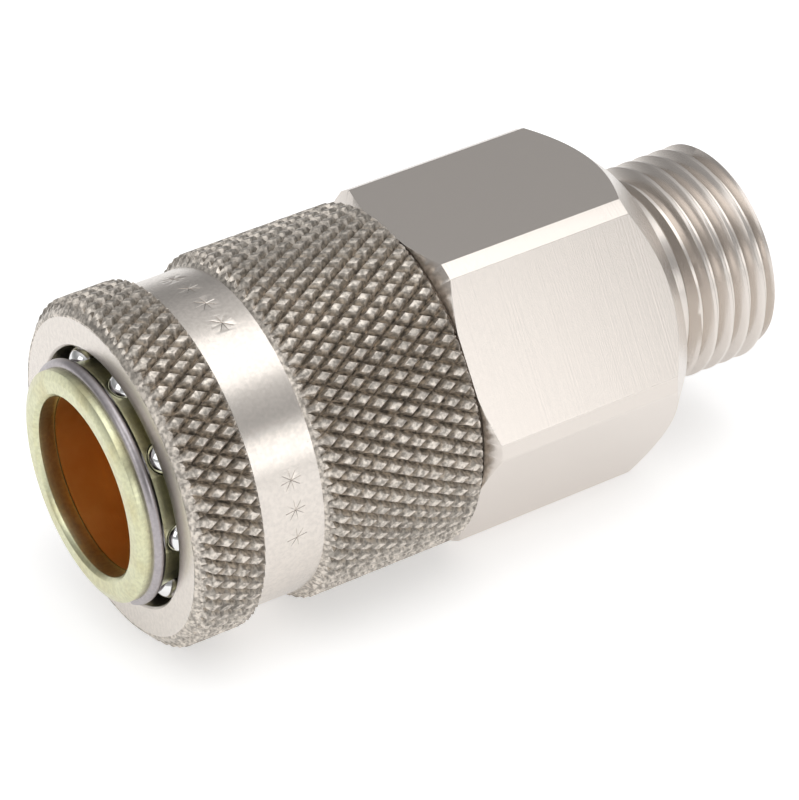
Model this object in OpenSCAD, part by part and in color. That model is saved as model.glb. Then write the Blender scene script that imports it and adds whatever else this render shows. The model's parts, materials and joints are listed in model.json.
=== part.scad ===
// Quick coupling socket for liquid cooling: a ball-lock body with a knurled sleeve,
// a hexagon adapter with a pipe thread, and a spring-loaded valve inside.
// It lies on its side along X: the socket's nose is at -X and the thread at +X.

/* [Body tube] */
// Wall of the nose, round the valve sleeve
nose_wall = 2.05; // [1.9:0.05:2.2]
// Width of the bevel round the nose face
nose_bevel_width = 0.82; // [0.6:0.02:1]
// Length of that bevel
nose_bevel = 0.35; // [0.2:0.05:0.6]
// Clearance round the plug at the lip that keeps the valve sleeve in
lip_gap = 0.09; // [0.06:0.01:0.15]
// Depth of the lip from the nose face
lip_depth = 1.9; // [1.5:0.1:2.2]
// Width of the countersink into the lip
lip_countersink = 0.37; // [0.2:0.01:0.5]
// Distance from the sleeve's land to the step where the tube gets thicker
tube_step_gap = 0.4; // [0.3:0.05:0.6]
// Wall of the tube behind that step, round the piston
tube_wall = 1.25; // [1.1:0.05:1.4]
// Clearance behind the piston when the plug has pushed it right back
piston_end_gap = 0.3; // [0.2:0.05:0.5]
// Length of the tube behind the narrow edge of the valve seat
seat_depth = 4; // [3.8:0.1:4.2]
// Clearance round the valve head at the tube's open rear end
mouth_gap = 0.5; // [0.3:0.05:0.7]

/* [Snap ring] */
// Diameter of the ring's wire
ring_wire = 1.2; // [1:0.05:1.3]
// Distance from the nose face to the middle of the wire
ring_z = 1.68; // [1.5:0.02:1.75]
// Gap between the ends of the ring, in degrees
ring_gap = 16; // [8:1:30]
// Direction of the gap round the axis, in degrees
ring_gap_at = 248; // [0:1:360]

/* [Locking balls] */
// How many balls lock the plug
ball_count = 9; // [9:1:9]
// Ball diameter
ball_d = 3; // [2.8:0.05:3.1]
// Distance from the nose face to the balls' centres
ball_z = 4.05; // [4:0.05:4.3]
// How far the balls' centres lie inside the nose's surface with no plug in the socket
ball_inset = 0.3; // [0.2:0.01:0.35]
// How far each ball moves inwards to lock the plug
ball_travel = 1.3; // [1.1:0.05:1.35]
// Direction of the first ball round the axis, in degrees
ball_at = 22; // [0:1:40]

/* [Locking sleeve] */
// Distance from the nose face to the front of the sleeve
sleeve_z = 2.85; // [2.7:0.05:3]
// Distance from the nose face to the back of the sleeve
sleeve_end_z = 31.65; // [31.4:0.05:31.8]
// Wall of the sleeve between its rear bore and the plain band
sleeve_wall = 2; // [1.8:0.05:2.1]
// Clearance outside the released balls, which stand in the recess in front of the ramp
ball_gap = 0.15; // [0.1:0.05:0.3]
// How far the sleeve moves forwards to lock
sleeve_travel = 4.2; // [4:0.1:4.4]
// Depth of the recess before its ramp begins
recess_depth = 1.75; // [1.6:0.05:1.8]
// How far the land reaches past the balls' centres once the sleeve has locked
land_lead = 0.2; // [0.1:0.05:0.3]
// Length of the land that slides on the nose and holds the balls in
land_length = 2.5; // [2:0.1:2.6]
// Width of the bevel on the sleeve's plain edges
sleeve_bevel = 0.2; // [0.1:0.05:0.3]
// Room for the spring between the tube and the sleeve's rear bore
spring_room = 1.8; // [1.7:0.05:2]

/* [Knurl] */
// How far the knurl stands out from the plain band
knurl_height = 1.04; // [0.9:0.02:1.3]
// Depth of the knurl's grooves
knurl_depth = 0.78; // [0.5:0.02:0.85]
// Number of diamonds round the sleeve
knurl_count = 66; // [48:2:80]
// Length of one diamond along the axis
knurl_pitch = 2.73; // [2:0.01:4]
// End of the front knurl, from the nose face
front_knurl_end_z = 9.6; // [8:0.1:11]
// Start of the rear knurl, from the nose face
rear_knurl_z = 15.6; // [14:0.1:18]
// Length over which the knurl rises at the sleeve's front and at the rear knurl's shoulder
knurl_rise = 1; // [0.6:0.05:1.4]
// Length over which the knurl falls away at its other ends
knurl_fall = 0.45; // [0.3:0.05:0.8]

/* [Adapter] */
// Size of the hexagon across its flats
hex_af = 30; // [29:0.5:31]
// How much is turned off the hexagon's corners
hex_corner_cut = 0.46; // [0.2:0.02:0.8]
// Gap between the sleeve and the hexagon
hex_gap = 0.5; // [0.45:0.05:0.8]
// How far the hexagon's front face reaches beyond its flats, inside its chamfer
hex_face_margin = 0.3; // [0.1:0.05:0.6]
// Length of that chamfer
hex_front_chamfer = 0.9; // [0.6:0.05:1.2]
// Length of the hexagon from its front face to the sealing face
hex_length = 23.5; // [22.5:0.5:26]
// Radius of the flat sealing face behind the hexagon
seal_face_r = 13.2; // [12.8:0.05:13.6]
// Clearance of the sleeve on the boss behind it
boss_gap = 0.1; // [0.05:0.01:0.2]
// Length of that boss
boss_length = 5.65; // [5:0.05:6.5]
// Depth of the socket for the body tube, from the hexagon's front face
tube_socket_depth = 5.35; // [5.2:0.05:5.6]
// Width of the step between the socket and the valve chamber
chamber_step = 0.6; // [0.5:0.05:0.8]
// Length of the valve chamber
chamber_length = 15.5; // [15.3:0.1:16]
// Radius of the outlet bore
outlet_r = 7.25; // [6.8:0.05:7.4]

/* [Pipe thread] */
// Outer radius of the thread
thread_r = 10.4775; // [10.4:0.0025:10.6]
// Length of the undercut behind the sealing face
neck_length = 2.9; // [2:0.1:4]
// Radius of that undercut
neck_r = 9.5; // [9.3:0.05:9.8]
// Length of the threaded part
thread_length = 9.35; // [8:0.05:12]
// Width of the chamfer at the thread's ends
thread_chamfer = 0.4; // [0.3:0.05:0.8]

/* [Valve] */
// Inner radius of the valve sleeve, where the plug enters
plug_r = 8.33; // [8.2:0.01:8.5]
// Wall of the valve sleeve's front part
valve_wall = 0.37; // [0.35:0.01:0.4]
// Length of the valve sleeve's front part
valve_front_length = 9.9; // [9.7:0.1:10.1]
// Bevel on the outside of its front edge
valve_edge = 0.3; // [0.25:0.01:0.33]
// How far the piston part stands out from the front part
piston_step = 1.5; // [1.45:0.05:1.6]
// Length of the piston part
piston_length = 9.6; // [9.4:0.1:9.8]
// Distance from the valve sleeve's front edge to the step that the plug pushes on
plug_stop = 15; // [14.8:0.1:15.6]
// Outer radius of the cage behind the piston
cage_r = 7.2; // [7:0.05:7.3]
// Wall of the cage
cage_wall = 1.7; // [1.4:0.1:2]
// Clearance of the cage in the hole that the valve closes
cage_gap = 0.2; // [0.1:0.05:0.3]
// Diameter of the flow ports in the cage
port_d = 4.2; // [3.5:0.1:4.6]
// Wall left between the ports and the valve head
port_wall = 1; // [0.8:0.1:1.2]
// Number of flow ports
port_count = 6; // [4:1:6]
// How far the plug pushes the valve back
valve_travel = 9.5; // [9.2:0.1:9.6]
// Radius of the valve head
head_r = 9.2; // [9.1:0.05:9.3]
// Length of the valve head from the cage to its back
head_length = 5.1; // [4.8:0.1:5.3]
// Radius of the valve stem
stem_r = 2; // [1.6:0.1:2.4]
// Length of the valve stem
stem_length = 18; // [17:0.5:19]
// Thickness of the guide that the stem slides in
guide_thickness = 1.5; // [1.2:0.1:1.6]
// Number of spokes on the guide
guide_spokes = 3; // [3:1:5]
// Width of a spoke
spoke_width = 2.4; // [1.6:0.1:3]

/* [Seals] */
// Thickness of the O-rings on the plug, piston and body tube
seal_d = 1.5; // [1.3:0.05:1.55]
// Thickness of the O-ring on the valve head
valve_seal_d = 1.6; // [1.4:0.05:1.7]

/* [Springs] */
// Wire diameter of the sleeve's spring
sleeve_spring_wire = 1.2; // [1:0.05:1.25]
// Turns of the sleeve's spring
sleeve_spring_turns = 6; // [4:0.5:7]
// Wire diameter of the valve's spring
valve_spring_wire = 0.8; // [0.6:0.05:0.85]
// Turns of the valve's spring
valve_spring_turns = 4; // [3:0.5:4]
// Distance of the valve spring's middle line from the rim of the valve head
valve_spring_inset = 1; // [0.8:0.05:1.1]

/* [Clearances] */
// Radial clearance of the parts that slide
slide_gap = 0.05; // [0.03:0.01:0.08]
// Radial clearance of screwed and seated joints
seat_gap = 0.1; // [0.05:0.01:0.15]
// Clearance of the valve from the parts that stop it
stop_gap = 0.1; // [0.05:0.01:0.2]

/* [Hidden] */
$fn = 96;
nothing = 0.01;
// How far a cut reaches past what it cuts, and how deep joined shapes overlap
reach = 1;

steel = "gainsboro";
nickel = "silver";
passivate = "darkkhaki";
brass = "peru";
rubber = "dimgray";

// Places along the axis, from the nose face
hex_z = sleeve_end_z + hex_gap;
boss_z = hex_z - boss_length;
tube_socket_end_z = hex_z + tube_socket_depth;
chamber_end_z = tube_socket_end_z + chamber_length;
seal_face_z = hex_z + hex_length;
thread_z = seal_face_z + neck_length;
overall_length = thread_z + thread_length;
valve_z = lip_depth + stop_gap;
piston_z = valve_z + valve_front_length;
piston_end_z = piston_z + piston_length;
shoulder_z = piston_z - 2 * stop_gap;
plug_stop_z = valve_z + plug_stop;
seat_z = tube_socket_end_z - seat_depth;
seat_wall_z = piston_end_z + valve_travel + piston_end_gap;
tube_seal_z = (seat_wall_z + seat_z) / 2;
cage_end_z = seat_z - stop_gap;
head_end_z = cage_end_z + head_length;
guide_z = chamber_end_z - guide_thickness;
land_z = ball_z + sleeve_travel - land_lead;
land_end_z = land_z + land_length;
tube_step_z = land_end_z + tube_step_gap;

// Radii, from the plug outwards
valve_front_r = plug_r + valve_wall;
valve_front_bore_r = valve_front_r + slide_gap;
piston_r = valve_front_r + piston_step;
piston_bore_r = piston_r + slide_gap;
lip_r = plug_r + lip_gap;
lip_mouth_r = lip_r + lip_countersink;
nose_r = valve_front_bore_r + nose_wall;
nose_face_r = nose_r - nose_bevel_width;
ring_mean_r = nose_r + slide_gap;
ball_circle_r = nose_r - ball_inset;
ball_hole_r = ball_d / 2 + slide_gap;
recess_r = ball_circle_r + ball_d / 2 + ball_gap;
land_r = nose_r + seat_gap;
tube_r = piston_bore_r + tube_wall;
sleeve_bore_r = tube_r + spring_room;
band_r = sleeve_bore_r + sleeve_wall;
knurl_r = band_r + knurl_height;

// Radii of the adapter and of what lies in it
boss_r = sleeve_bore_r - boss_gap;
hex_face_r = hex_af / 2 + hex_face_margin;
hex_corner_r = hex_af / 2 / cos(30) - hex_corner_cut;
tube_socket_r = tube_r + seat_gap;
chamber_r = tube_socket_r - chamber_step;
seat_r = cage_r + cage_gap;
cage_bore_r = cage_r - cage_wall;
tube_mouth_r = head_r + mouth_gap;
valve_spring_r = head_r - valve_spring_inset;

// The valve head's O-ring touches the 45 degree seat at valve_seal_d / 2 behind its edge
valve_head_gap = 0.6;
valve_seal_reach = (valve_seal_d / 2 + slide_gap) / sqrt(2);
valve_seal_r = seat_r + valve_seal_d / 2 - valve_seal_reach;
valve_seal_z = seat_z + valve_seal_d / 2 + valve_seal_reach;

// The axis lies one knurl radius above the surface that the coupling rests on
axis_height = max(knurl_r, hex_af / 2);

// Lays a piece drawn along +Z, from the nose face, on its side along X
module lay() {
    translate([-overall_length / 2, 0, axis_height]) rotate([90, 0, 90]) children();
}

// A solid of revolution from [radius, distance from the nose face] points
module turned(profile) {
    rotate_extrude() polygon(profile);
}

module o_ring(mean_r, z, thickness) {
    rotate_extrude() translate([mean_r, z]) circle(d = thickness, $fn = 24);
}

// A square groove cut into a wall between two radii
module groove(inner_r, outer_r, z, width) {
    translate([0, 0, z]) difference() {
        cylinder(r = outer_r, h = width);
        translate([0, 0, -reach]) cylinder(r = inner_r, h = width + 2 * reach);
    }
}

/* Sleeve blank: rings of points from front to back. Each ring is [distance from the nose face,
   tip radius, groove radius]. Tips and groove crossings alternate round a knurled ring and from
   ring to ring, and facets meet along the grooves. */
function knurl_rings(start_z, end_z, rise, fall, end_tip_r) =
    let (length = end_z - start_z - rise - fall,
         steps = max(2, round(2 * length / knurl_pitch)),
         groove_r = knurl_r - knurl_depth)
    concat(
        [[start_z, band_r, band_r]],
        [for (i = [0:steps]) [start_z + rise + length * i / steps, knurl_r, groove_r]],
        [[end_z, end_tip_r, min(end_tip_r, groove_r)]]
    );

module knurled_blank() {
    rings = concat(
        [[sleeve_z, band_r - sleeve_bevel, band_r - sleeve_bevel]],
        knurl_rings(sleeve_z + sleeve_bevel, front_knurl_end_z, knurl_rise, knurl_fall, band_r),
        knurl_rings(rear_knurl_z, sleeve_end_z, knurl_rise, knurl_fall, knurl_r - knurl_fall)
    );
    columns = 2 * knurl_count;
    last = len(rings) - 1;
    points = [for (i = [0:last]) for (j = [0:columns - 1])
        let (r = rings[i][(i + j) % 2 == 0 ? 1 : 2],
             a = 360 * j / columns)
        [r * cos(a), r * sin(a), rings[i][0]]];
    sides = [for (i = [0:last - 1]) for (j = [0:columns - 1])
        let (next = (j + 1) % columns,
             a = i * columns + j, b = i * columns + next,
             c = a + columns, d = b + columns)
        for (face = (i + j) % 2 == 0 ? [[a, c, b], [b, c, d]] : [[a, d, b], [a, c, d]]) face];
    front = [for (j = [0:columns - 1]) j];
    back = [for (j = [columns - 1:-1:0]) last * columns + j];
    polyhedron(points, concat([front, back], sides));
}

/* Coil spring: a closed turn at each end and an even pitch between them */
function coil_z(turn, turns, wire, length) =
    turn < 1 ? wire * (0.5 + turn)
    : turn > turns - 1 ? length - wire * (0.5 + turns - turn)
    : 1.5 * wire + (length - 3 * wire) * (turn - 1) / (turns - 2);

module coil_spring(mean_r, wire, turns, length, steps = 16, sides = 6) {
    last = round(turns * steps);
    points = [for (i = [0:last]) for (k = [0:sides - 1])
        let (a = 360 * i / steps,
             r = mean_r + wire / 2 * cos(360 * k / sides),
             z = coil_z(i / steps, turns, wire, length) + wire / 2 * sin(360 * k / sides))
        [r * cos(a), r * sin(a), z]];
    walls = [for (i = [0:last - 1]) for (k = [0:sides - 1])
        let (next = (k + 1) % sides,
             a = i * sides + k, b = i * sides + next)
        for (face = [[a, b, a + sides], [b, b + sides, a + sides]]) face];
    start = [for (k = [sides - 1:-1:0]) k];
    end = [for (k = [0:sides - 1]) last * sides + k];
    polyhedron(points, concat([start, end], walls));
}

// Fixed parts

module adapter_body() {
    color(nickel) lay() difference() {
        union() {
            intersection() {
                translate([0, 0, hex_z]) cylinder(d = hex_af / cos(30), h = hex_length, $fn = 6);
                turned([
                    [0, hex_z], [hex_face_r, hex_z], [hex_corner_r, hex_z + hex_front_chamfer],
                    [hex_corner_r, seal_face_z - (hex_corner_r - seal_face_r)],
                    [seal_face_r, seal_face_z], [0, seal_face_z]
                ]);
            }
            turned([
                [0, boss_z], [boss_r - seat_gap, boss_z], [boss_r, boss_z + seat_gap],
                [boss_r, hex_z + reach], [0, hex_z + reach]
            ]);
            turned([
                [0, seal_face_z - reach], [neck_r, seal_face_z - reach], [neck_r, thread_z - thread_chamfer],
                [thread_r, thread_z + thread_r - neck_r - thread_chamfer],
                [thread_r, overall_length - thread_chamfer],
                [thread_r - thread_chamfer, overall_length], [0, overall_length]
            ]);
        }
        turned([
            [0, boss_z - reach], [tube_socket_r, boss_z - reach], [tube_socket_r, tube_socket_end_z],
            [chamber_r, tube_socket_end_z], [chamber_r, chamber_end_z], [outlet_r, chamber_end_z],
            [outlet_r, overall_length - thread_chamfer],
            [outlet_r + 2 * thread_chamfer, overall_length + thread_chamfer],
            [0, overall_length + thread_chamfer]
        ]);
    }
}

module front_body() {
    color(passivate) lay() difference() {
        turned([
            [lip_r, lip_countersink], [lip_mouth_r, 0], [nose_face_r, 0],
            [nose_r, nose_bevel], [nose_r, tube_step_z], [tube_r, tube_step_z],
            [tube_r, tube_socket_end_z], [tube_mouth_r, tube_socket_end_z],
            [tube_mouth_r, seat_z + tube_mouth_r - seat_r], [seat_r, seat_z],
            [seat_r, seat_wall_z], [piston_bore_r, seat_wall_z], [piston_bore_r, shoulder_z],
            [valve_front_bore_r, shoulder_z], [valve_front_bore_r, lip_depth], [lip_r, lip_depth]
        ]);
        o_ring(ring_mean_r, ring_z, ring_wire + slide_gap);
        for (i = [0:ball_count - 1]) rotate(ball_at + i * 360 / ball_count) ball_hole();
        groove(tube_r - seal_d, tube_r + reach, tube_seal_z, seal_d + 2 * seat_gap);
    }
}

// The hole for a ball narrows at its inner end, so that the ball can't fall into the socket
module ball_hole() {
    inner_r = ball_circle_r - ball_travel;
    lip_length = ball_d / 4;
    ball_lip_r = 0.45 * ball_d;
    translate([inner_r, 0, ball_z]) rotate([0, 90, 0]) {
        cylinder(r = ball_hole_r, h = nose_r - inner_r + reach, $fn = 48);
        translate([0, 0, -lip_length])
            cylinder(r1 = ball_lip_r, r2 = ball_hole_r, h = lip_length + nothing, $fn = 48);
    }
}

module snap_ring() {
    color(steel) lay() translate([0, 0, ring_z]) rotate(ring_gap_at + ring_gap / 2)
        rotate_extrude(angle = 360 - ring_gap) translate([ring_mean_r, 0]) circle(d = ring_wire, $fn = 24);
}

module tube_seal() {
    color(rubber) lay()
        o_ring(tube_r - seal_d / 2 + slide_gap, tube_seal_z + seal_d / 2 + seat_gap, seal_d);
}

module valve_stem_guide() {
    hub_r = 2 * stem_r;
    color(brass) lay() translate([0, 0, guide_z]) {
        difference() {
            cylinder(r = chamber_r - slide_gap, h = guide_thickness);
            translate([0, 0, -reach]) cylinder(r = outlet_r, h = guide_thickness + 2 * reach);
        }
        difference() {
            union() {
                cylinder(r = hub_r, h = guide_thickness);
                for (i = [0:guide_spokes - 1]) rotate(90 + i * 360 / guide_spokes)
                    translate([hub_r - reach, -spoke_width / 2, 0])
                        cube([outlet_r - hub_r + 1.5 * reach, spoke_width, guide_thickness]);
            }
            translate([0, 0, -reach]) cylinder(r = stem_r + seat_gap, h = guide_thickness + 2 * reach);
        }
    }
}

// Sleeve and its spring

module locking_sleeve() {
    ramp_z = sleeve_z + recess_depth;
    color(nickel) lay() difference() {
        knurled_blank();
        turned([
            [0, sleeve_z - reach], [recess_r + sleeve_bevel + reach, sleeve_z - reach],
            [recess_r, sleeve_z + sleeve_bevel], [recess_r, ramp_z], [land_r, land_z],
            [land_r, land_end_z], [sleeve_bore_r, land_end_z],
            [sleeve_bore_r, sleeve_end_z + reach], [0, sleeve_end_z + reach]
        ]);
    }
}

module sleeve_spring() {
    mean_r = (tube_r + sleeve_bore_r) / 2;
    color(steel) lay() translate([0, 0, land_end_z + seat_gap])
        coil_spring(mean_r, sleeve_spring_wire, sleeve_spring_turns, boss_z - land_end_z - 2 * seat_gap);
}

module ball(index) {
    color(steel) lay() rotate(ball_at + (index - 1) * 360 / ball_count)
        translate([ball_circle_r, 0, ball_z]) sphere(d = ball_d, $fn = 32);
}

// Valve, which the plug pushes back

module valve_sleeve() {
    groove_z = piston_z + seal_d;
    color(brass) lay() difference() {
        turned([
            [plug_r, valve_z], [valve_front_r - valve_edge, valve_z], [valve_front_r, valve_z + valve_edge],
            [valve_front_r, piston_z], [piston_r, piston_z], [piston_r, piston_end_z],
            [cage_r, piston_end_z], [cage_r, cage_end_z], [cage_bore_r, cage_end_z],
            [cage_bore_r, plug_stop_z], [plug_r, plug_stop_z]
        ]);
        groove(plug_r - reach, plug_r + seal_d - seat_gap, groove_z, seal_d + 2 * seat_gap);
        groove(piston_r - seal_d, piston_r + reach, piston_end_z - 2 * seal_d, seal_d + 2 * seat_gap);
        for (i = [0:port_count - 1]) rotate(i * 360 / port_count)
            translate([cage_bore_r - reach, 0, cage_end_z - port_d / 2 - port_wall]) rotate([0, 90, 0])
                cylinder(d = port_d, h = cage_r - cage_bore_r + 2 * reach, $fn = 48);
    }
}

// The head's front cone lies parallel to the seat, and its O-ring stands out of that cone
module valve_head() {
    cone_r = seat_r - valve_head_gap;
    color(brass) lay() difference() {
        turned([
            [0, cage_end_z - reach], [cage_bore_r - slide_gap, cage_end_z - reach],
            [cage_bore_r - slide_gap, cage_end_z], [cone_r, cage_end_z],
            [head_r, cage_end_z + head_r - cone_r], [head_r, head_end_z],
            [stem_r, head_end_z], [stem_r, head_end_z + stem_length - stem_r / 4],
            [stem_r * 0.75, head_end_z + stem_length], [0, head_end_z + stem_length]
        ]);
        o_ring(valve_seal_r, valve_seal_z, valve_seal_d + 2 * slide_gap);
    }
}

module valve_seal() {
    color(rubber) lay() o_ring(valve_seal_r, valve_seal_z, valve_seal_d);
}

module plug_seal() {
    color(rubber) lay()
        o_ring(plug_r + seal_d / 2 - 1.5 * seat_gap, piston_z + 1.5 * seal_d + seat_gap, seal_d);
}

module piston_seal() {
    color(rubber) lay()
        o_ring(piston_r - seal_d / 2 + slide_gap / 2, piston_end_z - 1.5 * seal_d + seat_gap, seal_d);
}

module valve_spring() {
    color(steel) lay() translate([0, 0, head_end_z + seat_gap / 2])
        coil_spring(valve_spring_r, valve_spring_wire, valve_spring_turns, guide_z - head_end_z - seat_gap);
}

adapter_body();
front_body();
locking_sleeve();
snap_ring();
sleeve_spring();
ball(1);  // ball_1
ball(2);  // ball_2
ball(3);  // ball_3
ball(4);  // ball_4
ball(5);  // ball_5
ball(6);  // ball_6
ball(7);  // ball_7
ball(8);  // ball_8
ball(9);  // ball_9
valve_sleeve();
valve_head();
valve_stem_guide();
valve_spring();
valve_seal();
plug_seal();
piston_seal();
tube_seal();
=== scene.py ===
import json
import math

import bpy
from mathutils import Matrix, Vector

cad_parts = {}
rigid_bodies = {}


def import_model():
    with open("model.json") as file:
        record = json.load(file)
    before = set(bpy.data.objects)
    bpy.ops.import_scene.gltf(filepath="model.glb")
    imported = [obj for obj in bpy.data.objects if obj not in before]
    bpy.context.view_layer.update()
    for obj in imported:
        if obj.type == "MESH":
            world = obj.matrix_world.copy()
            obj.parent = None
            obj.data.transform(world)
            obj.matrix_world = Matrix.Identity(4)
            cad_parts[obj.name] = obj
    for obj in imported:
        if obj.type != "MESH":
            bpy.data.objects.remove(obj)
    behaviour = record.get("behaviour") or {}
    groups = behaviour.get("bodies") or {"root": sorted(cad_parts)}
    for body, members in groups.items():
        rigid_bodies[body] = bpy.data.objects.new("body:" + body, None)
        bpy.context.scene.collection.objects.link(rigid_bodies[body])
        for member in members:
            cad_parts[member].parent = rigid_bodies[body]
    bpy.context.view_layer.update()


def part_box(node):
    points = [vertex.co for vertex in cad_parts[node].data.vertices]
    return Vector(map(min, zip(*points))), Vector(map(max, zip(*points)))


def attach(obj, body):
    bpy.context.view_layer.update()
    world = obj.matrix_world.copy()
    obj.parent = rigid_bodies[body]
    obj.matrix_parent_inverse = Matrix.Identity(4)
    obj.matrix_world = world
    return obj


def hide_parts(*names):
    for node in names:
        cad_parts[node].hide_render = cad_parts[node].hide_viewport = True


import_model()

# ---------------------------------------------------------------------------------------------
# Where things are. The coupling lies along X, with its nose at -X. Every distance along the axis
# below is counted from the nose face, in millimetres, as a turner would mark the bar.

MM = 0.001
nose_low, nose_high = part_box("front_body")
nose_face_x = nose_low[0]
axis_z = (nose_low[2] + nose_high[2]) / 2
sleeve_front = (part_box("locking_sleeve")[0][0] - nose_face_x) / MM
sleeve_back = (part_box("locking_sleeve")[1][0] - nose_face_x) / MM
boss_front = (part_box("adapter_body")[0][0] - nose_face_x) / MM
thread_end = (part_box("adapter_body")[1][0] - nose_face_x) / MM
tube_end = (nose_high[0] - nose_face_x) / MM


def along(distance):
    return nose_face_x + distance * MM


def deselect():
    if bpy.context.mode != "OBJECT":
        bpy.ops.object.mode_set(mode="OBJECT")
    bpy.ops.object.select_all(action="DESELECT")


def choose(piece, test):
    """Selects the vertices of a piece that pass a test on radius, distance and angle."""
    bpy.ops.object.mode_set(mode="OBJECT")
    for vertex in piece.data.vertices:
        vertex.select = test(*polar(vertex.co))
    bpy.ops.object.mode_set(mode="EDIT")


def polar(point):
    y, z = point[1], point[2] - axis_z
    return math.hypot(y, z) / MM, (point[0] - nose_face_x) / MM, math.degrees(math.atan2(z, y)) % 360


def place(radius, distance, degrees):
    turn_to = math.radians(degrees)
    return Vector((along(distance), radius * MM * math.cos(turn_to), axis_z + radius * MM * math.sin(turn_to)))


# ---------------------------------------------------------------------------------------------
# Studio: a pale table, a big soft light over the coupling, one at the viewer's left and a weak
# one behind. A long lens looks down at the nose's side.

def glow_only_to_lights(name, colour, seen):
    """A surface that the camera and reflections see in one plain colour and that keeps its shadows."""
    surface = bpy.data.materials.new(name)
    surface.use_nodes = True
    nodes, links = surface.node_tree.nodes, surface.node_tree.links
    shader = nodes["Principled BSDF"]
    shader.inputs["Base Color"].default_value = (*colour, 1)
    shader.inputs["Roughness"].default_value = 0.9
    shader.inputs["Specular IOR Level"].default_value = 0.1
    shader.inputs["Emission Color"].default_value = (1, 1, 1, 1)
    shader.inputs["Emission Strength"].default_value = seen
    return surface


bpy.ops.mesh.primitive_plane_add(size=4, location=(0, 0, 0))
table = bpy.context.object
table.name = "studio_table"
deselect()
table.data.materials.append(glow_only_to_lights("table_paper", (0.86, 0.86, 0.86), 0.45))

world = bpy.data.worlds.new("studio")
bpy.context.scene.world = world
world.use_nodes = True
sky_nodes, sky_links = world.node_tree.nodes, world.node_tree.links
background = sky_nodes["Background"]
direction = sky_nodes.new("ShaderNodeTexCoord")
height = sky_nodes.new("ShaderNodeSeparateXYZ")
sky = sky_nodes.new("ShaderNodeValToRGB")
sky_links.new(direction.outputs["Generated"], height.inputs[0])
sky_links.new(height.outputs["Z"], sky.inputs["Fac"])
sky.color_ramp.elements[0].position = 0.0
sky.color_ramp.elements[0].color = (0.62, 0.62, 0.62, 1)
sky.color_ramp.elements[1].position = 0.9
sky.color_ramp.elements[1].color = (0.85, 0.85, 0.85, 1)
for position, level in ((0.12, 0.5), (0.3, 0.3), (0.55, 0.42)):
    sky.color_ramp.elements.new(position).color = (level, level, level, 1)
seen_by = sky_nodes.new("ShaderNodeLightPath")
paper_white = sky_nodes.new("ShaderNodeMix")
paper_white.data_type = "RGBA"
sky_links.new(seen_by.outputs["Is Camera Ray"], paper_white.inputs["Factor"])
sky_links.new(sky.outputs["Color"], paper_white.inputs["A"])
paper_white.inputs["B"].default_value = (1, 1, 1, 1)
sky_links.new(paper_white.outputs["Result"], background.inputs["Color"])
background.inputs["Strength"].default_value = 1.0


def softbox(name, place_at, aim_at, width, height_of_box, watts):
    bpy.ops.object.light_add(type="AREA", location=place_at)
    lamp = bpy.context.object
    lamp.name = name
    lamp.data.shape = "RECTANGLE"
    lamp.data.size, lamp.data.size_y = width, height_of_box
    lamp.data.energy = watts
    lamp.rotation_euler = (Vector(aim_at) - Vector(place_at)).to_track_quat("-Z", "Y").to_euler()
    deselect()
    return lamp


middle = (0, 0, axis_z)
softbox("overhead_light", (0.05, -0.1, 0.5), middle, 0.5, 0.35, 0.62)
softbox("left_light", (-0.45, -0.1, 0.28), middle, 0.3, 0.3, 0.4)
softbox("front_light", (0.12, -0.5, 0.16), middle, 0.36, 0.2, 0.36)

bpy.ops.object.camera_add(location=(-0.15271, -0.25356, 0.21428),
                          rotation=[math.radians(a) for a in (55.6771, 2.014, -32.2455)])
camera = bpy.context.object
camera.data.lens = 175.86
camera.data.sensor_width = 36
camera.data.clip_start = 0.01
bpy.context.scene.camera = camera
bpy.context.scene.view_settings.view_transform = "Standard"
deselect()

# ---------------------------------------------------------------------------------------------
# Adapter: turned from 30 mm hexagon brass bar and nickel plated. Its corners are skimmed to a
# cylinder, a cone leads to the sealing face, and a right-hand pipe thread follows an undercut.

hex_front, hex_af, hex_corner_r = boss_front + 5.65, 30.0, 16.86
seal_face, seal_face_r, neck_r = hex_front + 23.5, 13.2, 9.5
thread_start, thread_r, thread_pitch = seal_face + 2.9, 10.4775, 1.814
tube_socket_r, chamber_r, outlet_r = 11.6, 11.0, 7.25
tube_socket_end, chamber_end = boss_front + 11, boss_front + 26.5


def turn(name, profile, sides=192):
    """Turns a closed wall from a profile of (distance, radius) points, by pulling a ring along it."""
    start, radius = profile[0]
    bpy.ops.mesh.primitive_circle_add(vertices=sides, radius=radius * MM, enter_editmode=True,
                                      location=(along(start), 0, axis_z), rotation=(0, math.pi / 2, 0))
    piece = bpy.context.object
    piece.name = name
    for distance, next_radius in profile[1:] + profile[:1]:
        step = (distance - start) * MM
        bpy.ops.mesh.extrude_region_move(TRANSFORM_OT_translate={"value": (step, 0, 0)})
        grow = next_radius / radius
        bpy.ops.transform.resize(value=(1, grow, grow), center_override=(along(distance), 0, axis_z))
        start, radius = distance, next_radius
    bpy.ops.mesh.select_all(action="SELECT")
    bpy.ops.mesh.remove_doubles(threshold=1e-7)
    bpy.ops.mesh.normals_make_consistent(inside=False)
    bpy.ops.object.mode_set(mode="OBJECT")
    bpy.ops.object.transform_apply(location=True, rotation=True, scale=True)
    return piece


def cut(piece, tool, operation="DIFFERENCE"):
    """Applies a boolean cut with a tool, which is then thrown away."""
    bpy.context.view_layer.objects.active = piece
    knife = piece.modifiers.new("cut", "BOOLEAN")
    knife.operation, knife.solver, knife.object = operation, "EXACT", tool
    bpy.ops.object.modifier_apply(modifier=knife.name)
    bpy.data.objects.remove(tool)


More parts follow.
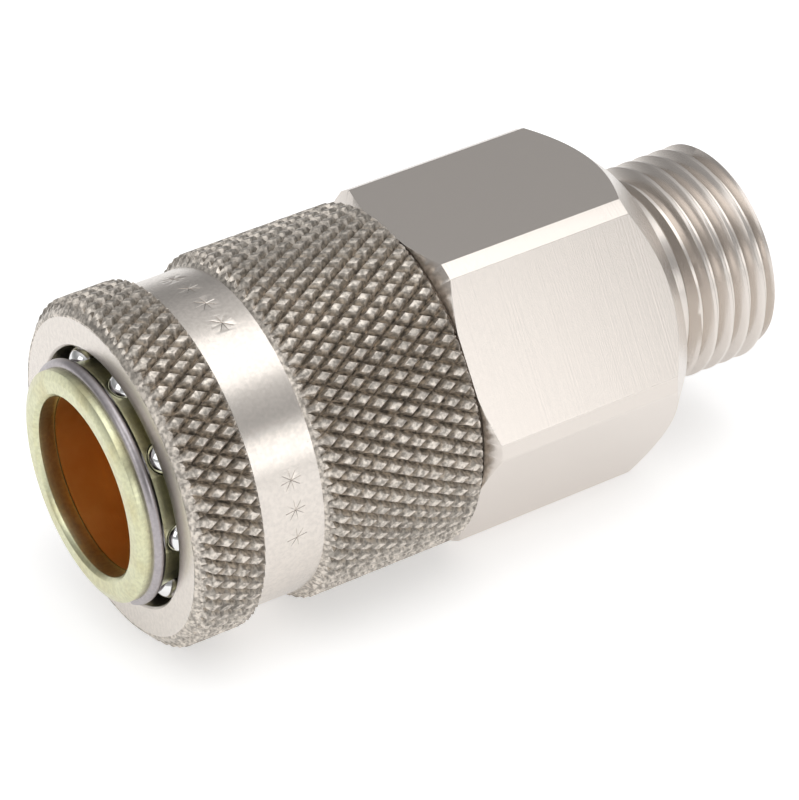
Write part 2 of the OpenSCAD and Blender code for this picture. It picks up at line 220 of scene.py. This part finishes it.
def break_edges(piece, width, segments=2, angle=20):
    """Breaks sharp edges with a small bevel, then smooths what is left below the angle."""
    bpy.context.view_layer.objects.active = piece
    edge = piece.modifiers.new("edges", "BEVEL")
    edge.width, edge.segments = width * MM, segments
    edge.limit_method, edge.angle_limit = "ANGLE", math.radians(angle)
    edge.harden_normals = False
    bpy.ops.object.modifier_apply(modifier=edge.name)
    piece.select_set(True)
    bpy.ops.object.shade_smooth_by_angle(angle=math.radians(40))
    weights = piece.modifiers.new("normals", "WEIGHTED_NORMAL")
    weights.keep_sharp = True
    bpy.ops.object.modifier_apply(modifier=weights.name)
    deselect()


def join(piece, *others):
    """Makes one piece of several that are one piece of metal."""
    deselect()
    for part in (piece, *others):
        part.select_set(True)
    bpy.context.view_layer.objects.active = piece
    bpy.ops.object.join()
    deselect()


def metal(name, colour, roughness, turned=0.0, speckle=0.0, dark=(0.1, 0.08, 0.06), stain=0.0, metallic=1.0):
    """Metal with turning lines that run round the X axis, fine speckle and broad stains."""
    finish = bpy.data.materials.new(name)
    finish.use_nodes = True
    nodes, links = finish.node_tree.nodes, finish.node_tree.links
    shader = nodes["Principled BSDF"]
    shader.inputs["Metallic"].default_value = metallic
    place_of = nodes.new("ShaderNodeTexCoord").outputs["Object"]

    def noise(scale, detail, vector=place_of, stretch=None):
        if stretch:
            squeeze = nodes.new("ShaderNodeMapping")
            squeeze.inputs["Scale"].default_value = stretch
            links.new(vector, squeeze.inputs["Vector"])
            vector = squeeze.outputs["Vector"]
        grain = nodes.new("ShaderNodeTexNoise")
        grain.inputs["Scale"].default_value = scale
        grain.inputs["Detail"].default_value = detail
        links.new(vector, grain.inputs["Vector"])
        return grain.outputs["Fac"]

    def ramp(value, *stops):
        scale = nodes.new("ShaderNodeValToRGB")
        links.new(value, scale.inputs["Fac"])
        for number, (at, colour_there) in enumerate(stops):
            stop = scale.color_ramp.elements[number] if number < 2 else scale.color_ramp.elements.new(at)
            stop.position, stop.color = at, (*colour_there, 1)
        return scale.outputs["Color"]

    def grey(level):
        return (level, level, level)

    lines = noise(9000, 2, stretch=(1, 0.004, 0.004))
    specks = noise(2600, 3)
    clouds = noise(260, 3)
    shade = nodes.new("ShaderNodeMix")
    shade.data_type, shade.blend_type = "RGBA", "MULTIPLY"
    shade.inputs["Factor"].default_value = 1
    base = nodes.new("ShaderNodeMix")
    base.data_type = "RGBA"
    base.inputs["A"].default_value = (*colour, 1)
    base.inputs["B"].default_value = (*dark, 1)
    links.new(ramp(clouds, (0.45, grey(0)), (0.75, grey(stain))), base.inputs["Factor"])
    links.new(base.outputs["Result"], shade.inputs["A"])
    links.new(ramp(specks, (0.38, grey(1 - speckle)), (0.62, grey(1))), shade.inputs["B"])
    links.new(shade.outputs["Result"], shader.inputs["Base Color"])
    links.new(ramp(specks, (0.3, grey(roughness + 0.25 * speckle)), (0.7, grey(roughness))),
              shader.inputs["Roughness"])
    relief = nodes.new("ShaderNodeMath")
    relief.operation = "MULTIPLY_ADD"
    links.new(lines, relief.inputs[0])
    relief.inputs[1].default_value = turned
    specks_up = nodes.new("ShaderNodeMath")
    specks_up.operation = "MULTIPLY"
    links.new(specks, specks_up.inputs[0])
    specks_up.inputs[1].default_value = speckle
    links.new(specks_up.outputs[0], relief.inputs[2])
    bump = nodes.new("ShaderNodeBump")
    bump.inputs["Distance"].default_value = 0.00002
    bump.inputs["Strength"].default_value = 1
    links.new(relief.outputs[0], bump.inputs["Height"])
    links.new(bump.outputs["Normal"], shader.inputs["Normal"])
    return finish


def dress(piece, *finishes):
    """Gives a piece its finishes in place of any it has."""
    piece.data.materials.clear()
    for finish in finishes:
        piece.data.materials.append(finish)


satin_nickel = metal("satin_nickel", (0.68, 0.63, 0.585), 0.27, turned=0.2, speckle=0.015)
adapter = turn("hex_adapter", [
    (boss_front, tube_socket_r), (boss_front, 13.1), (boss_front + 0.1, 13.2), (hex_front, 13.2),
    (hex_front, 15.3), (hex_front + 0.9, hex_corner_r), (seal_face - hex_corner_r + seal_face_r, hex_corner_r),
    (seal_face, seal_face_r), (seal_face, neck_r + 0.3), (seal_face + 0.3, neck_r),
    (thread_start + 0.3, neck_r), (thread_start + 0.6, neck_r - 0.3), (thread_end - 0.1, neck_r - 0.3),
    (thread_end - 0.1, 8.4), (thread_end - 0.4, outlet_r), (chamber_end, outlet_r),
    (chamber_end, chamber_r), (tube_socket_end, chamber_r), (tube_socket_end, tube_socket_r),
], sides=240)
bpy.ops.mesh.primitive_cylinder_add(vertices=6, radius=hex_af / math.sqrt(3) * MM, depth=0.1,
                                    location=(0, 0, axis_z), rotation=(0, math.pi / 2, 0))
hex_bar = bpy.context.object
cut(adapter, hex_bar, "INTERSECT")
break_edges(adapter, 0.09)

# Pieces that make up the body ride on it. The turned adapter stands for its CAD solid.

# The thread is a helical groove profile, swept round the axis and cut off square at both ends.
crest, root_r, flank_end = 0.26, thread_r - 1.16, 0.77
ridge = [(0, thread_r), (crest, thread_r), (crest + 0.07, thread_r - 0.05), (flank_end, root_r + 0.08),
         (flank_end + 0.14, root_r), (flank_end + 0.4, root_r + 0.08),
         (thread_pitch - 0.07, thread_r - 0.05), (thread_pitch, thread_r)]
bpy.ops.mesh.primitive_circle_add(vertices=len(ridge), radius=MM, location=(0, 0, 0))
thread = bpy.context.object
thread.name = "pipe_thread"
thread.data.vertices.foreach_set("co", [c for d, r in ridge
                                        for c in (along(thread_start - 2 * thread_pitch + d), 0, r * MM)])
bpy.ops.object.mode_set(mode="EDIT")
bpy.ops.mesh.select_mode(type="EDGE")
bpy.ops.mesh.select_all(action="DESELECT")
bpy.ops.object.mode_set(mode="OBJECT")
for edge in thread.data.edges:
    edge.select = set(edge.vertices) == {0, len(ridge) - 1}
bpy.ops.object.mode_set(mode="EDIT")
bpy.ops.mesh.delete(type="EDGE")
bpy.ops.mesh.select_mode(type="VERT")
bpy.ops.object.mode_set(mode="OBJECT")
sweep = thread.modifiers.new("sweep", "SCREW")
sweep.axis, sweep.steps, sweep.render_steps = "X", 120, 120
sweep.iterations, sweep.screw_offset = 9, thread_pitch * MM
bpy.ops.object.modifier_apply(modifier=sweep.name)
for vertex in thread.data.vertices:
    vertex.co.z += axis_z
bpy.ops.object.mode_set(mode="EDIT")
bpy.ops.mesh.select_all(action="SELECT")
bpy.ops.mesh.remove_doubles(threshold=1e-6)
for cut_at, behind in ((thread_start, True), (thread_end - 0.4, None), (thread_end, False)):
    bpy.ops.mesh.select_all(action="SELECT")
    bpy.ops.mesh.bisect(plane_co=(along(cut_at), 0, 0), plane_no=(1, 0, 0), threshold=1e-8,
                        clear_inner=behind is True, clear_outer=behind is False)
bpy.ops.object.mode_set(mode="OBJECT")
for vertex in thread.data.vertices:
    radius, distance, degrees = polar(vertex.co)
    run_in, run_out = distance - thread_start, thread_end - distance
    radius = min(radius, neck_r + 0.1 + run_in * 1.2, thread_r - 0.4 + run_out)
    vertex.co = place(radius, distance, degrees)
thread_core = neck_r - 0.9
for end in (thread_start, thread_end):
    choose(thread, lambda r, d, a: abs(d - end) < 1e-3)
    bpy.ops.mesh.extrude_region_move()
    bpy.ops.object.mode_set(mode="OBJECT")
    for vertex in thread.data.vertices:
        if vertex.select:
            vertex.co = place(thread_core, end, polar(vertex.co)[2])
choose(thread, lambda r, d, a: r < thread_core + 1e-3)
bpy.ops.mesh.bridge_edge_loops()
bpy.ops.mesh.select_all(action="SELECT")
bpy.ops.mesh.normals_make_consistent(inside=False)
bpy.ops.object.mode_set(mode="OBJECT")
deselect()
thread.select_set(True)
bpy.ops.object.shade_smooth_by_angle(angle=math.radians(35))
join(adapter, thread)
dress(adapter, satin_nickel)
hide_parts("adapter_body")
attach(adapter, "body")

# ---------------------------------------------------------------------------------------------
# Locking sleeve: brass, bored and turned, diamond knurled in two bands with a plain band between
# them, then nickel plated. Small eight-armed stars are rolled into the plain band.

band_r, knurl_r, knurl_depth = 15.3, 16.34, 0.78
knurl_count, knurl_pitch, flat_share = 66, 2.73, 0.5
front_knurl_end, rear_knurl_start = sleeve_front + 6.75, sleeve_front + 12.75
knurl_core = band_r - 0.4
star_distance = (front_knurl_end + rear_knurl_start) / 2 + 0.25
star_reach = 1.0
recess_r, land_r, spring_bore_r = 12.15, 10.9, 13.3
recess_end, land_start, land_end = sleeve_front + 1.75, sleeve_front + 5.2, sleeve_front + 7.7

sleeve = turn("knurled_sleeve", [
    (sleeve_front, recess_r + 0.2), (sleeve_front, knurl_core), (sleeve_front + 0.1, band_r - 0.1),
    (front_knurl_end - 0.1, band_r - 0.1), (front_knurl_end - 0.1, band_r),
    (star_distance - star_reach - 0.2, band_r), (star_distance + star_reach + 0.2, band_r),
    (rear_knurl_start + 0.1, band_r),
    (rear_knurl_start + 0.1, band_r - 0.1), (sleeve_back - 0.1, band_r - 0.1), (sleeve_back, knurl_core),
    (sleeve_back, spring_bore_r + 0.1), (sleeve_back - 0.1, spring_bore_r), (land_end, spring_bore_r),
    (land_end, land_r), (land_start, land_r), (recess_end, recess_r), (sleeve_front + 0.2, recess_r),
], sides=288)


def star_arm(degrees, distance, arm, reach, depth):
    """A vee bar, laid on the band, that rolls one arm of a star into it."""
    bpy.ops.mesh.primitive_cylinder_add(vertices=3, radius=2 * depth * MM, depth=2 * reach * MM,
                                        location=(0, 0, 0), rotation=(0, math.pi / 2, 0))
    bar = bpy.context.object
    for turn_by in ((0, 0, math.radians(45 * arm + 7)), (math.radians(degrees - 90), 0, 0)):
        bpy.ops.object.transform_apply(rotation=True)
        bar.rotation_euler = turn_by
    bar.location = place(band_r + 0.9 * depth, distance, degrees)
    bpy.ops.object.transform_apply(location=True, rotation=True, scale=True)
    deselect()
    return bar


for star_at in (73.6, 84.5, 95.3, 106.1, 164.0, 174.8, 185.6):
    for arm in range(4):
        cut(sleeve, star_arm(star_at, star_distance, arm, star_reach, 0.055 + 0.002 * arm))


def knurl(name, start, end, limit):
    """A knurled ring: one tooth, repeated as a diamond net, cut to length and wrapped round."""
    width = 2 * math.pi * knurl_r / knurl_count
    bpy.ops.mesh.primitive_circle_add(vertices=4, radius=1, fill_type="NGON", enter_editmode=True,
                                      location=(start - knurl_pitch, 0, 0))
    net = bpy.context.object
    net.name = name
    centre = (start - knurl_pitch, 0, 0)
    bpy.ops.transform.resize(value=(knurl_pitch / 2, width / 2, 1), center_override=centre)
    bpy.ops.mesh.extrude_region_move(TRANSFORM_OT_translate={"value": (0, 0, knurl_depth)})
    bpy.ops.transform.resize(value=(flat_share, flat_share, 1), center_override=centre)
    bpy.ops.mesh.bevel(offset=0.07, segments=2, affect="EDGES")
    bpy.ops.mesh.select_mode(type="FACE")
    bpy.ops.mesh.select_all(action="DESELECT")
    bpy.ops.object.mode_set(mode="OBJECT")
    for face in net.data.polygons:
        face.select = face.center.z < knurl_depth * 0.1
    bpy.ops.object.mode_set(mode="EDIT")
    bpy.ops.mesh.delete(type="ONLY_FACE")
    bpy.ops.mesh.select_mode(type="VERT")
    bpy.ops.mesh.select_all(action="SELECT")
    bpy.ops.object.mode_set(mode="OBJECT")
    bpy.ops.object.transform_apply(location=True, rotation=True, scale=True)
    rows = math.ceil((end - start) / knurl_pitch) + 3
    for copies, step in ((2, (knurl_pitch / 2, width / 2, 0)), (knurl_count, (0, width, 0)),
                         (rows, (knurl_pitch, 0, 0))):
        repeat = net.modifiers.new("repeat", "ARRAY")
        repeat.use_relative_offset, repeat.use_constant_offset = False, True
        repeat.constant_offset_displace, repeat.count = step, copies
        bpy.ops.object.modifier_apply(modifier=repeat.name)
    bpy.ops.object.mode_set(mode="EDIT")
    bpy.ops.mesh.select_all(action="SELECT")
    bpy.ops.mesh.remove_doubles(threshold=1e-4)
    for at in (start + 0.35, start + 0.7, start + 1.05, end - 0.45, end - 0.2):
        bpy.ops.mesh.select_all(action="SELECT")
        bpy.ops.mesh.bisect(plane_co=(at, 0, 0), plane_no=(1, 0, 0))
    bpy.ops.mesh.select_all(action="SELECT")
    bpy.ops.mesh.bisect(plane_co=(start, 0, 0), plane_no=(1, 0, 0), clear_inner=True)
    bpy.ops.mesh.select_all(action="SELECT")
    bpy.ops.mesh.bisect(plane_co=(end, 0, 0), plane_no=(1, 0, 0), clear_outer=True)
    bpy.ops.object.mode_set(mode="OBJECT")
    for vertex in net.data.vertices:
        distance, turn_by, height_up = vertex.co
        radius = min(knurl_r - knurl_depth + height_up, limit(distance))
        vertex.co = place(radius, distance, math.degrees(turn_by / knurl_r))
    bpy.ops.object.mode_set(mode="EDIT")
    bpy.ops.mesh.select_all(action="SELECT")
    bpy.ops.mesh.remove_doubles(threshold=2e-6)
    close_ring(net, start, end, knurl_core)
    return net


def close_ring(ring, start, end, core):
    """Closes an open ring with two flat ends and a plain bore."""
    for at in (start, end):
        choose(ring, lambda r, d, a: abs(d - at) < 1e-3)
        bpy.ops.mesh.extrude_region_move()
        bpy.ops.object.mode_set(mode="OBJECT")
        for vertex in ring.data.vertices:
            if vertex.select:
                vertex.co = place(core, at, polar(vertex.co)[2])
    choose(ring, lambda r, d, a: r < core + 1e-3)
    bpy.ops.mesh.bridge_edge_loops()
    bpy.ops.mesh.select_all(action="SELECT")
    bpy.ops.mesh.normals_make_consistent(inside=False)
    bpy.ops.object.mode_set(mode="OBJECT")
    deselect()


def front_limit(distance):
    run_in = distance - sleeve_front
    return min(band_r - 0.2 + run_in * 1.15, band_r - 0.03 + (front_knurl_end - distance) * 2.2)


def rear_limit(distance):
    run_in = distance - rear_knurl_start
    return min(band_r - 0.03 + run_in * 1.07, knurl_r + sleeve_back - distance - 0.45)


band_nickel = metal("band_nickel", (0.7, 0.65, 0.6), 0.25, turned=0.3, speckle=0.08)
knurl_nickel = metal("knurl_nickel", (0.7, 0.64, 0.57), 0.36, speckle=0.55)
dress(sleeve, band_nickel)
front_knurl = knurl("front_knurl", sleeve_front, front_knurl_end, front_limit)
rear_knurl = knurl("rear_knurl", rear_knurl_start, sleeve_back, rear_limit)
break_edges(sleeve, 0.05)
for ring in (front_knurl, rear_knurl):
    dress(ring, knurl_nickel)
    ring.select_set(True)
    bpy.context.view_layer.objects.active = ring
    bpy.ops.object.shade_smooth_by_angle(angle=math.radians(28))
    deselect()
join(sleeve, front_knurl, rear_knurl)
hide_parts("locking_sleeve")
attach(sleeve, "sleeve")

# ---------------------------------------------------------------------------------------------
# Body tube: turned steel with a yellow passivate, screwed into the adapter. Nine holes hold the
# locking balls, and the lip inside its nose keeps the valve sleeve in.

nose_r, nose_face_r, tube_r, tube_step = 10.8, 9.98, 11.5, land_end + 0.4
lip_r, lip_depth, lip_mouth = 8.42, 1.9, 0.37
valve_bore_r, piston_bore_r, seat_r, mouth_r = 8.75, 10.25, 7.4, 9.7
shoulder, seat_wall, seat = 11.7, tube_end - 6.2, tube_end - 4
ball_z, ball_r, ball_circle_r = 4.05, 1.5, 10.5
ring_z, ring_wire_r, ring_r = 1.68, 0.6, 10.85

tube = turn("body_tube", [
    (lip_mouth, lip_r), (0, lip_r + lip_mouth), (0, nose_face_r), (nose_r / 30, nose_r), (ring_z - 0.5, nose_r),
    (ring_z - 0.5, nose_r - 0.4), (ring_z + 0.5, nose_r - 0.4), (ring_z + 0.5, nose_r), (tube_step, nose_r),
    (tube_step, tube_r), (tube_end, tube_r), (tube_end, mouth_r), (seat + mouth_r - seat_r, mouth_r),
    (seat, seat_r), (seat_wall, seat_r), (seat_wall, piston_bore_r), (shoulder, piston_bore_r),
    (shoulder, valve_bore_r), (lip_depth, valve_bore_r), (lip_depth, lip_r),
], sides=240)
ball_angles = [22 + 40 * i for i in range(9)]
for ball_at in ball_angles:
    hole_middle = place(nose_r + 0.2, ball_z, ball_at)
    bpy.ops.mesh.primitive_cylinder_add(vertices=40, radius=(ball_r + 0.05) * MM, depth=3 * MM,
                                        location=hole_middle, rotation=(math.radians(ball_at - 90), 0, 0))
    cut(tube, bpy.context.object)
break_edges(tube, 0.06)
passivate = metal("yellow_passivate", (0.66, 0.66, 0.45), 0.3, turned=0.3, speckle=0.14,
                  dark=(0.5, 0.4, 0.16), stain=0.45)
dress(tube, passivate)
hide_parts("front_body")
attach(tube, "body")

# ---------------------------------------------------------------------------------------------
# Locking balls: hardened and polished steel, 3 mm. They stand outwards in the sleeve's recess
# while no plug is in the socket.

ball_steel = metal("polished_ball_steel", (0.75, 0.75, 0.75), 0.06)
for number, ball_at in enumerate(ball_angles, 1):
    bpy.ops.mesh.primitive_uv_sphere_add(segments=48, ring_count=24, radius=ball_r * MM,
                                         location=place(ball_circle_r, ball_z, ball_at))
    ball = bpy.context.object
    ball.name = f"locking_ball_{number}"
    bpy.ops.object.transform_apply(location=True, rotation=True, scale=True)
    bpy.ops.object.shade_smooth()
    deselect()
    dress(ball, ball_steel)
    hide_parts(f"ball_{number}")
    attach(ball, f"ball_{number}_body")

# ---------------------------------------------------------------------------------------------
# The rest keeps its CAD solid: the snap ring and springs of hard steel wire, the valve sleeve, head
# and guide of bare brass, and the O-rings of black rubber.

wire_steel = metal("wire_steel", (0.42, 0.39, 0.4), 0.3, speckle=0.12)
bare_brass = metal("bare_brass", (1.0, 0.62, 0.22), 0.34, turned=0.8, dark=(0.85, 0.42, 0.1), stain=0.5)
seal_rubber = metal("seal_rubber", (0.03, 0.03, 0.03), 0.6, speckle=0.3, metallic=0.0)
kept = {wire_steel: ("snap_ring", "sleeve_spring", "valve_spring"),
        bare_brass: ("valve_sleeve", "valve_head", "valve_stem_guide"),
        seal_rubber: ("valve_seal", "plug_seal", "piston_seal", "tube_seal")}
for finish, names in kept.items():
    for name in names:
        for part in bpy.data.objects:
            if part.name == name and part.type == "MESH":
                for surface in part.material_slots:
                    surface.material = finish
